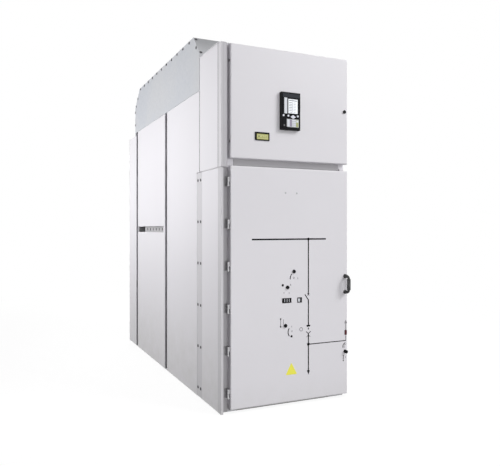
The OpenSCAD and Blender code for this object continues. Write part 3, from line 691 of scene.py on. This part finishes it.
buildMimic()
print("mimic diagram drawn")

# windows: box, then pale flags behind the glass as shares of its width
windows = {"counterWindow": ((448, 695, 520, 728), ((0.2, 0.27), (0.5, 0.56), (0.78, 0.84))),
           "positionWindow": ((566, 692, 603, 728), ((0.04, 0.6),)),
           "rim": 5.0, "out": 2.4, "glass": 1.0, "round": 3.0, "ease": 0.6, "lip": 0.4,
           "flagInset": 2, "flagRound": 1.0, "flagOut": 0.5, "flagEase": 0.2}


def buildWindow(name):
    (u0, v0, u1, v1), flags = windows[name]
    rim, out, glass, ease = (windows[key] for key in ("rim", "out", "glass", "ease"))
    mesh = bmesh.new()
    outer = softBox(u0, v0, u1, v1, windows["round"])
    inner = softBox(u0 + rim, v0 + rim, u1 - rim, v1 - rim, windows["round"] / 2)
    levels = ((outer, 0), (outer, out - ease), (shrink(outer, ease), out),
              (shrink(inner, -windows["lip"]), out), (inner, glass))
    pane = stack(mesh, levels, onFront(), 0, True)
    mesh.faces.new(pane).material_index = 1
    low, high = v0 + rim + windows["flagInset"], v1 - rim - windows["flagInset"]
    for shares in flags:
        start, end = (u0 + rim + (u1 - u0 - 2 * rim) * share for share in shares)
        plate(mesh, softBox(start, low, end, high, windows["flagRound"]), onFront(-glass),
              windows["flagOut"], windows["flagEase"], 2)
    addPiece(name, mesh, ["blackPlastic", "printBlack", "labelPale"], "lower_door")


buildWindow("counterWindow")
buildWindow("positionWindow")

earthLamp = {"x": 965, "z": 459, "halfWide": 10, "halfHigh": 19, "rim": 2.0, "out": 3.0, "ease": 0.8,
             "lensOut": 1.8, "lensEase": 1.2, "slack": 0.1, "steps": 8}


def buildLamp():
    mesh = bmesh.new()

    def longRound(inset):
        wide, high = earthLamp["halfWide"] - inset, earthLamp["halfHigh"] - inset
        x, z = earthLamp["x"], earthLamp["z"]
        return softBox(x - wide, z - high, x + wide, z + high, wide - earthLamp["slack"], earthLamp["steps"])

    plate(mesh, longRound(0), onFront(), earthLamp["out"], earthLamp["ease"], 0)
    plate(mesh, longRound(earthLamp["rim"]), onFront(-earthLamp["out"]), earthLamp["lensOut"],
          earthLamp["lensEase"], 1)
    addPiece("earthingLamp", mesh, ["blackPlastic", "lampRed"], "lower_door")


buildLamp()

hazardPlate = {"corners": ((476, 207), (564, 207), (520, 287)), "round": 6, "steps": 4, "out": 1.0,
               "ease": 0.4}


def roundedTriangle():
    corners = [Vector(corner) for corner in hazardPlate["corners"]]
    points = []
    for i, here in enumerate(corners):
        before, after = corners[i - 1], corners[(i + 1) % 3]
        first = here + (before - here).normalized() * hazardPlate["round"]
        last = here + (after - here).normalized() * hazardPlate["round"]
        for step in range(hazardPlate["steps"] + 1):
            t = step / hazardPlate["steps"]
            points.append(tuple(first * (1 - t) ** 2 + here * 2 * t * (1 - t) + last * t ** 2))
    return points


mesh = bmesh.new()
plate(mesh, roundedTriangle(), onFront(), hazardPlate["out"], hazardPlate["ease"])
addPiece("trianglePlate", mesh, ["signYellow"], "lower_door")

plugs = {"spots": ((475, 1439), (563, 1439)),
         "profile": ((6.5, 0), (6.5, 0.7), (5.2, 1.4), (1.95, 1.6), (0, 1.6))}
mesh = bmesh.new()
for u, v in plugs["spots"]:
    turn(mesh, plugs["profile"], aim(place(u, 0, v), (0, -1, 0)))
addPiece("doorPlugs", mesh, ["labelGrey"], "lower_door")

# moulded sleeve on the bow handle's bar and sockets on its legs
handleGrip = {"x": 959, "z": 804, "reach": 45, "legs": 56, "half": 39, "sides": 28,
              "sleeve": ((9.1, 0), (12.0, 0.8), (13.0, 3), (13.0, 75), (12.0, 77.2), (9.1, 78)),
              "socket": ((14.2, 0), (14.2, 3.4), (12.8, 5.2), (12.4, 20), (11.4, 22), (9.1, 22.6))}
mesh = bmesh.new()
sleeveFoot = place(handleGrip["x"], -handleGrip["reach"], handleGrip["z"] - handleGrip["half"])
turn(mesh, handleGrip["sleeve"], aim(sleeveFoot, (0, 0, 1)), handleGrip["sides"])
for rise in (-handleGrip["legs"], handleGrip["legs"]):
    legFoot = place(handleGrip["x"], 0, handleGrip["z"] + rise)
    turn(mesh, handleGrip["socket"], aim(legFoot, (0, -1, 0)), handleGrip["sides"])
addPiece("handleGrip", mesh, ["gripPlastic"], "lower_door")
print("lower door fitted")

# protection relay's front: across from its left edge, down from its top edge
relay = {
    "left": 429, "top": 2114, "face": -30,
    # finish, box, then base, thickness, corner radius and eased rim
    "panels": (
        ("filmDark", (5, 5, 140, 247), 0, 1.2, 5.0, 0.5),
        ("filmSlate", (9, 10, 136, 35), 1.2, 0.5, 2.0, 0.3),
        ("labelPale", (18, 38, 41, 145), 1.2, 0.4, 1.5, 0.3),  # bare label beside the signal lamps
        ("printBlack", (46, 43, 124, 145), 1.2, 0.6, 2.0, 0.3),
        ("screenPale", (49, 46, 121, 142), 1.8, 0.4, 1.0, 0.3),
        ("labelGrey", (37, 180, 130, 234), 1.2, 0.4, 2.0, 0.3),  # lower pad and its bare label strips
        ("labelPale", (42, 183, 59, 231), 1.6, 0.3, 1.0, 0.1),
        ("labelOlive", (109, 183, 127, 231), 1.6, 0.3, 1.0, 0.1),
        ("labelPale", (111, 186, 125, 200), 1.9, 0.2, 1.0, 0.1),
        ("labelMauve", (61, 183, 76, 231), 1.6, 0.3, 1.0, 0.1),
        ("printBlack", (8, 216, 28, 234), 1.2, 0.8, 3.0, 0.3)),  # port
    # finish, centre and radius, sides, then base, thickness and eased rim
    "rounds": (
        ("keyGrey", (13, 158, 7.0), 24, 1.2, 2.2, 0.9),
        ("keyGrey", (49, 159, 7.0), 24, 1.2, 2.2, 0.9),
        ("keyGrey", (122, 158, 7.0), 24, 1.2, 2.2, 0.9),
        ("portGrey", (18, 225, 5.5), 20, 2.0, 0.8, 0.3)),
    "ink": 0.05,
    "signals": {"rows": (45, 139, 9), "x": 11, "radius": 2.2, "sides": 12, "base": 1.2, "out": 0.8,
                "ease": 0.3, "rule": (20, 39), "ruleDrop": 6, "ruleWide": 0.5, "ruleBase": 1.6},
    "list": {"head": (54, 53, 116, 59), "rows": (68, 132, 7), "names": (55, 78, 4.0),
             "values": (89, 107, 2.2), "divider": (81, 64, 83.6, 137), "base": 2.2},
    "rocker": {"u": 86, "v": 165, "halfWide": 19, "halfHigh": 12.5, "round": 4, "base": 1.2, "out": 2.4,
               "ease": 0.9},
    "padKeys": {"columns": (79, 93.5), "rows": (184, 221, 4), "size": (11.5, 9), "round": 2.0, "base": 1.6,
                "out": 1.4, "ease": 0.6},
}


def onRelay(base):
    return lambda u, v, out: place(relay["left"] + u, relay["face"] - base - out, relay["top"] - v)


def rockerOutline():
    u, v, corner = relay["rocker"]["u"], relay["rocker"]["v"], relay["rocker"]["round"]
    wide, high = relay["rocker"]["halfWide"] - corner, relay["rocker"]["halfHigh"] - corner
    points = []
    for start, cu, cv in ((-28, u + wide, v), (62, u, v + high), (152, u - wide, v), (242, u, v - high)):
        points += arc(cu, cv, corner, start, start + 56, 4)
    return points


def buildRelay():
    mesh = bmesh.new()
    names = ["filmDark", "filmSlate", "labelPale", "screenPale", "keyGrey", "labelGrey", "labelOlive",
             "screenLine", "printBlack", "labelMauve", "portGrey"]

    def lay(finish, outline, base, out, ease=0.0):
        plate(mesh, outline, onRelay(base), out, ease, names.index(finish))

    for finish, box, base, out, radius, ease in relay["panels"]:
        lay(finish, softBox(*box, radius), base, out, ease)
    for finish, spot, sides, base, out, ease in relay["rounds"]:
        lay(finish, disc(*spot, sides), base, out, ease)
    rocker, signals, rows, keys = (relay[key] for key in ("rocker", "signals", "list", "padKeys"))
    lay("keyGrey", rockerOutline(), rocker["base"], rocker["out"], rocker["ease"])
    for v in between(*signals["rows"]):
        lens = disc(signals["x"], v, signals["radius"], signals["sides"])
        lay("filmSlate", lens, signals["base"], signals["out"], signals["ease"])
        rule = [(u, v + signals["ruleDrop"]) for u in signals["rule"]]
        lay("labelGrey", ribbon(rule, signals["ruleWide"]), signals["ruleBase"], relay["ink"])
    bars = [rows["head"], rows["divider"]]  # a plain list on the screen
    for left, right, high in (rows["names"], rows["values"]):
        bars += [(left, v, right, v + high) for v in between(*rows["rows"])]
    for u0, v0, u1, v1 in bars:
        lay("screenLine", [(u0, v0), (u1, v0), (u1, v1), (u0, v1)], rows["base"], relay["ink"])
    wide, high = keys["size"]
    for u in keys["columns"]:
        for v in between(*keys["rows"]):
            key = softBox(u, v, u + wide, v + high, keys["round"])
            lay("keyGrey", key, keys["base"], keys["out"], keys["ease"])
    addPiece("relayFront", mesh, names, "lv_door")


buildRelay()

# voltage indicator's front, with one field for each phase below a plain bar
indicator = {"left": 243, "low": 1781, "face": -8, "screen": (10, 6, 96, 42.5), "fields": 3, "edge": 4,
             "gap": 2, "fieldLow": 13, "bar": (3, 10), "mark": (0.3, 0.7, 16, 8), "glass": 0.6,
             "glassRound": 2.0, "glassEase": 0.2, "field": 0.15, "fieldRound": 1.5, "fieldEase": 0.05,
             "ink": 0.05}


def onIndicator(base):
    left, low, face = indicator["left"], indicator["low"], indicator["face"] - base
    return lambda u, v, out: place(left + u, face - out, low + v)


def buildIndicator():
    mesh = bmesh.new()
    names = ["screenOlive", "screenLime", "filmDark"]
    u0, v0, u1, v1 = indicator["screen"]
    edge, gap, fields, glass = (indicator[key] for key in ("edge", "gap", "fields", "glass"))
    pane = softBox(u0, v0, u1, v1, indicator["glassRound"])
    plate(mesh, pane, onIndicator(0), glass, indicator["glassEase"], 0)

    def layField(*box):
        outline = softBox(*box, indicator["fieldRound"])
        plate(mesh, outline, onIndicator(glass), indicator["field"], indicator["fieldEase"], 1)

    wide = (u1 - u0 - 2 * edge - gap * (fields - 1)) / fields
    markLeft, markRight, markLow, markHigh = indicator["mark"]
    for i in range(fields):
        left = u0 + edge + i * (wide + gap)
        layField(left, v0 + indicator["fieldLow"], left + wide, v1 - edge)
        arrow = [(left + wide * markLeft, v0 + markLow), (left + wide * markRight, v0 + markLow),
                 (left + wide * 0.5, v1 - markHigh)]
        plate(mesh, arrow, onIndicator(glass + indicator["field"]), indicator["ink"], 0, 0 if i else 2)
    low, high = indicator["bar"]
    layField(u0 + edge, v0 + low, u1 - edge, v0 + high)
    addPiece("indicatorFront", mesh, names, "lv_door")


buildIndicator()

# double-bit insert of the low-voltage lock
lockInsert = {"x": 953, "z": 2026, "face": -3, "bitOut": 2.0, "bitEase": 0.3,
              "profile": ((5.0, 0), (4.6, 0.6), (2.8, 0.5), (2.2, 2.2), (1.54, 2.6), (0, 2.7)),
              "bit": ((1.5, -0.8), (4.2, -0.8), (4.2, 0.8), (1.5, 0.8))}
mesh = bmesh.new()
lockSpot = place(lockInsert["x"], lockInsert["face"], lockInsert["z"])
turn(mesh, lockInsert["profile"], aim(lockSpot, (0, -1, 0)))
for sign in (1, -1):
    bit = [(lockInsert["x"] + sign * u, lockInsert["z"] + sign * v) for u, v in lockInsert["bit"]]
    plate(mesh, bit, onFront(lockInsert["face"]), lockInsert["bitOut"], lockInsert["bitEase"])
addPiece("lockInsert", mesh, ["lockZinc"], "lv_door")
print("low-voltage door fitted")

# foam seals on the doors' backs: name and door edges, then the strip's profile as inset and thickness
seals = {"lv_door": ("lvDoorSeal", 68, 980, 1655, 2400), "lower_door": ("lowerDoorSeal", 68, 980, 22, 1607),
         "inset": 9, "back": 40, "round": 14,
         "profile": ((0, 0), (0, 3.5), (1.8, 5), (7.2, 5), (9, 3.5), (9, 0))}


def buildSeal(body):
    name, x0, x1, z0, z1 = seals[body]
    mesh = bmesh.new()
    levels = []
    for inset, thick in seals["profile"]:
        gap = seals["inset"] + inset
        ring = softBox(x0 + gap, z0 + gap, x1 - gap, z1 - gap, seals["round"] - inset, 6)
        levels.append((ring[::-1], -thick))
    stack(mesh, levels, onFront(seals["back"]), 0, True)
    addPiece(name, mesh, ["sealFoamAndShade"], body)


for body in ("lv_door", "lower_door"):
    buildSeal(body)
print("seals laid")

# stage: paper floor that fades to white, white world, four softboxes and the photo's camera
stageValues = {"floorRings": (14000, 8000, 5000, 3000, 1500, 0), "floorSides": 48, "floorGlow": 0.89,
               "floorBounce": (0.16, 0.16, 0.16), "fadeFrom": 2.6, "fadeTo": 5.5, "worldFill": 0.31}
white = (1, 1, 1, 1)


# rays that see the white background: the camera's, mirrored ones and those through glass
def seenRays(tree):
    path = addNode(tree, "LightPath")
    mirrored = mathNode(tree, "MAXIMUM", path.outputs["Is Glossy Ray"], path.outputs["Is Transmission Ray"])
    return mathNode(tree, "MAXIMUM", path.outputs["Is Camera Ray"], mirrored)


def joinShaders(tree, kind, first, second, factor=None):
    node = addNode(tree, kind)
    tree.links.new(first.outputs[0], node.inputs[-2])
    tree.links.new(second.outputs[0], node.inputs[-1])
    if factor:
        tree.links.new(factor, node.inputs[0])
    return node


def buildFloor():
    mesh = bmesh.new()
    turn(mesh, [(radius, 0) for radius in stageValues["floorRings"]], Matrix(), stageValues["floorSides"])
    floor = addMesh("studioFloor", mesh)
    material = bpy.data.materials.new("floorPaper")
    material.use_nodes = True
    tree = material.node_tree
    tree.nodes.clear()
    seen = seenRays(tree)
    bounce = addNode(tree, "BsdfDiffuse", {"Color": (*stageValues["floorBounce"], 1)})
    glow = addNode(tree, "Emission", {"Color": white})
    tree.links.new(mathNode(tree, "MULTIPLY", seen, stageValues["floorGlow"]), glow.inputs["Strength"])
    paper = joinShaders(tree, "AddShader", bounce, glow)
    length = addNode(tree, "VectorMath", operation="LENGTH")
    tree.links.new(addNode(tree, "TexCoord").outputs["Object"], length.inputs[0])
    far = rangeNode(tree, length.outputs["Value"], stageValues["fadeFrom"], stageValues["fadeTo"], 0.0, 1.0,
                    True)
    backdrop = addNode(tree, "Emission", {"Color": white, "Strength": 1.0})
    fade = joinShaders(tree, "MixShader", paper, backdrop, mathNode(tree, "MULTIPLY", far, seen))
    tree.links.new(fade.outputs[0], addNode(tree, "OutputMaterial").inputs["Surface"])
    floor.data.materials.append(material)


def buildWorld():
    world = bpy.data.worlds.new("studioWorld")
    bpy.context.scene.world = world
    world.use_nodes = True
    tree = world.node_tree
    tree.nodes.clear()
    fill = addNode(tree, "Background", {"Color": white, "Strength": stageValues["worldFill"]})
    backdrop = addNode(tree, "Background", {"Color": white, "Strength": 1.0})
    mix = joinShaders(tree, "MixShader", fill, backdrop, seenRays(tree))
    tree.links.new(mix.outputs[0], addNode(tree, "OutputWorld").inputs["Surface"])


lamps = {
    "keySoftbox": {"at": (5.6, -6.8, 6.7), "to": (0.0, -1.2, 1.25), "size": (4.0, 4.0), "watts": 510,
                   "spread": 180},
    "frontSoftbox": {"at": (-0.2, -6.0, 0.3), "to": (0.0, -1.2, 0.5), "size": (3.0, 0.6), "watts": 88,
                     "spread": 180},
    "sideSoftbox": {"at": (-5.4, 0.8, 2.75), "to": (-0.49, 0.8, 1.62), "size": (5.6, 0.8), "watts": 51,
                    "spread": 58},
    "rearSoftbox": {"at": (1.8, 6.6, 3.2), "to": (0.0, 1.25, 1.2), "size": (3.0, 3.0), "watts": 120,
                    "spread": 180},
}


def buildLamps():
    for name, values in lamps.items():
        light = bpy.data.lights.new(name, "AREA")
        light.shape = "RECTANGLE"
        light.size, light.size_y = values["size"]
        light.energy = values["watts"]
        light.spread = math.radians(values["spread"])
        lamp = addObject(name, light)
        lamp.location = values["at"]
        lamp.rotation_mode = "QUATERNION"
        lamp.rotation_quaternion = (Vector(values["to"]) - Vector(values["at"])).to_track_quat("-Z", "Y")


cameraValues = {"at": (-1.823, -4.352, 1.202), "heading": -23.19, "sensor": 36.0, "lens": 38.23,
                "shift": (0.056, -0.01)}


def buildCamera():
    data = bpy.data.cameras.new("photoCamera")
    data.sensor_width = cameraValues["sensor"]
    data.lens = cameraValues["lens"]
    data.shift_x, data.shift_y = cameraValues["shift"]
    camera = addObject("photoCamera", data)
    camera.location = cameraValues["at"]
    camera.rotation_euler = (math.radians(90), 0, math.radians(cameraValues["heading"]))
    bpy.context.scene.camera = camera


buildFloor()
buildWorld()
buildLamps()
buildCamera()
bpy.context.scene.view_settings.view_transform = "Standard"
print("stage set")
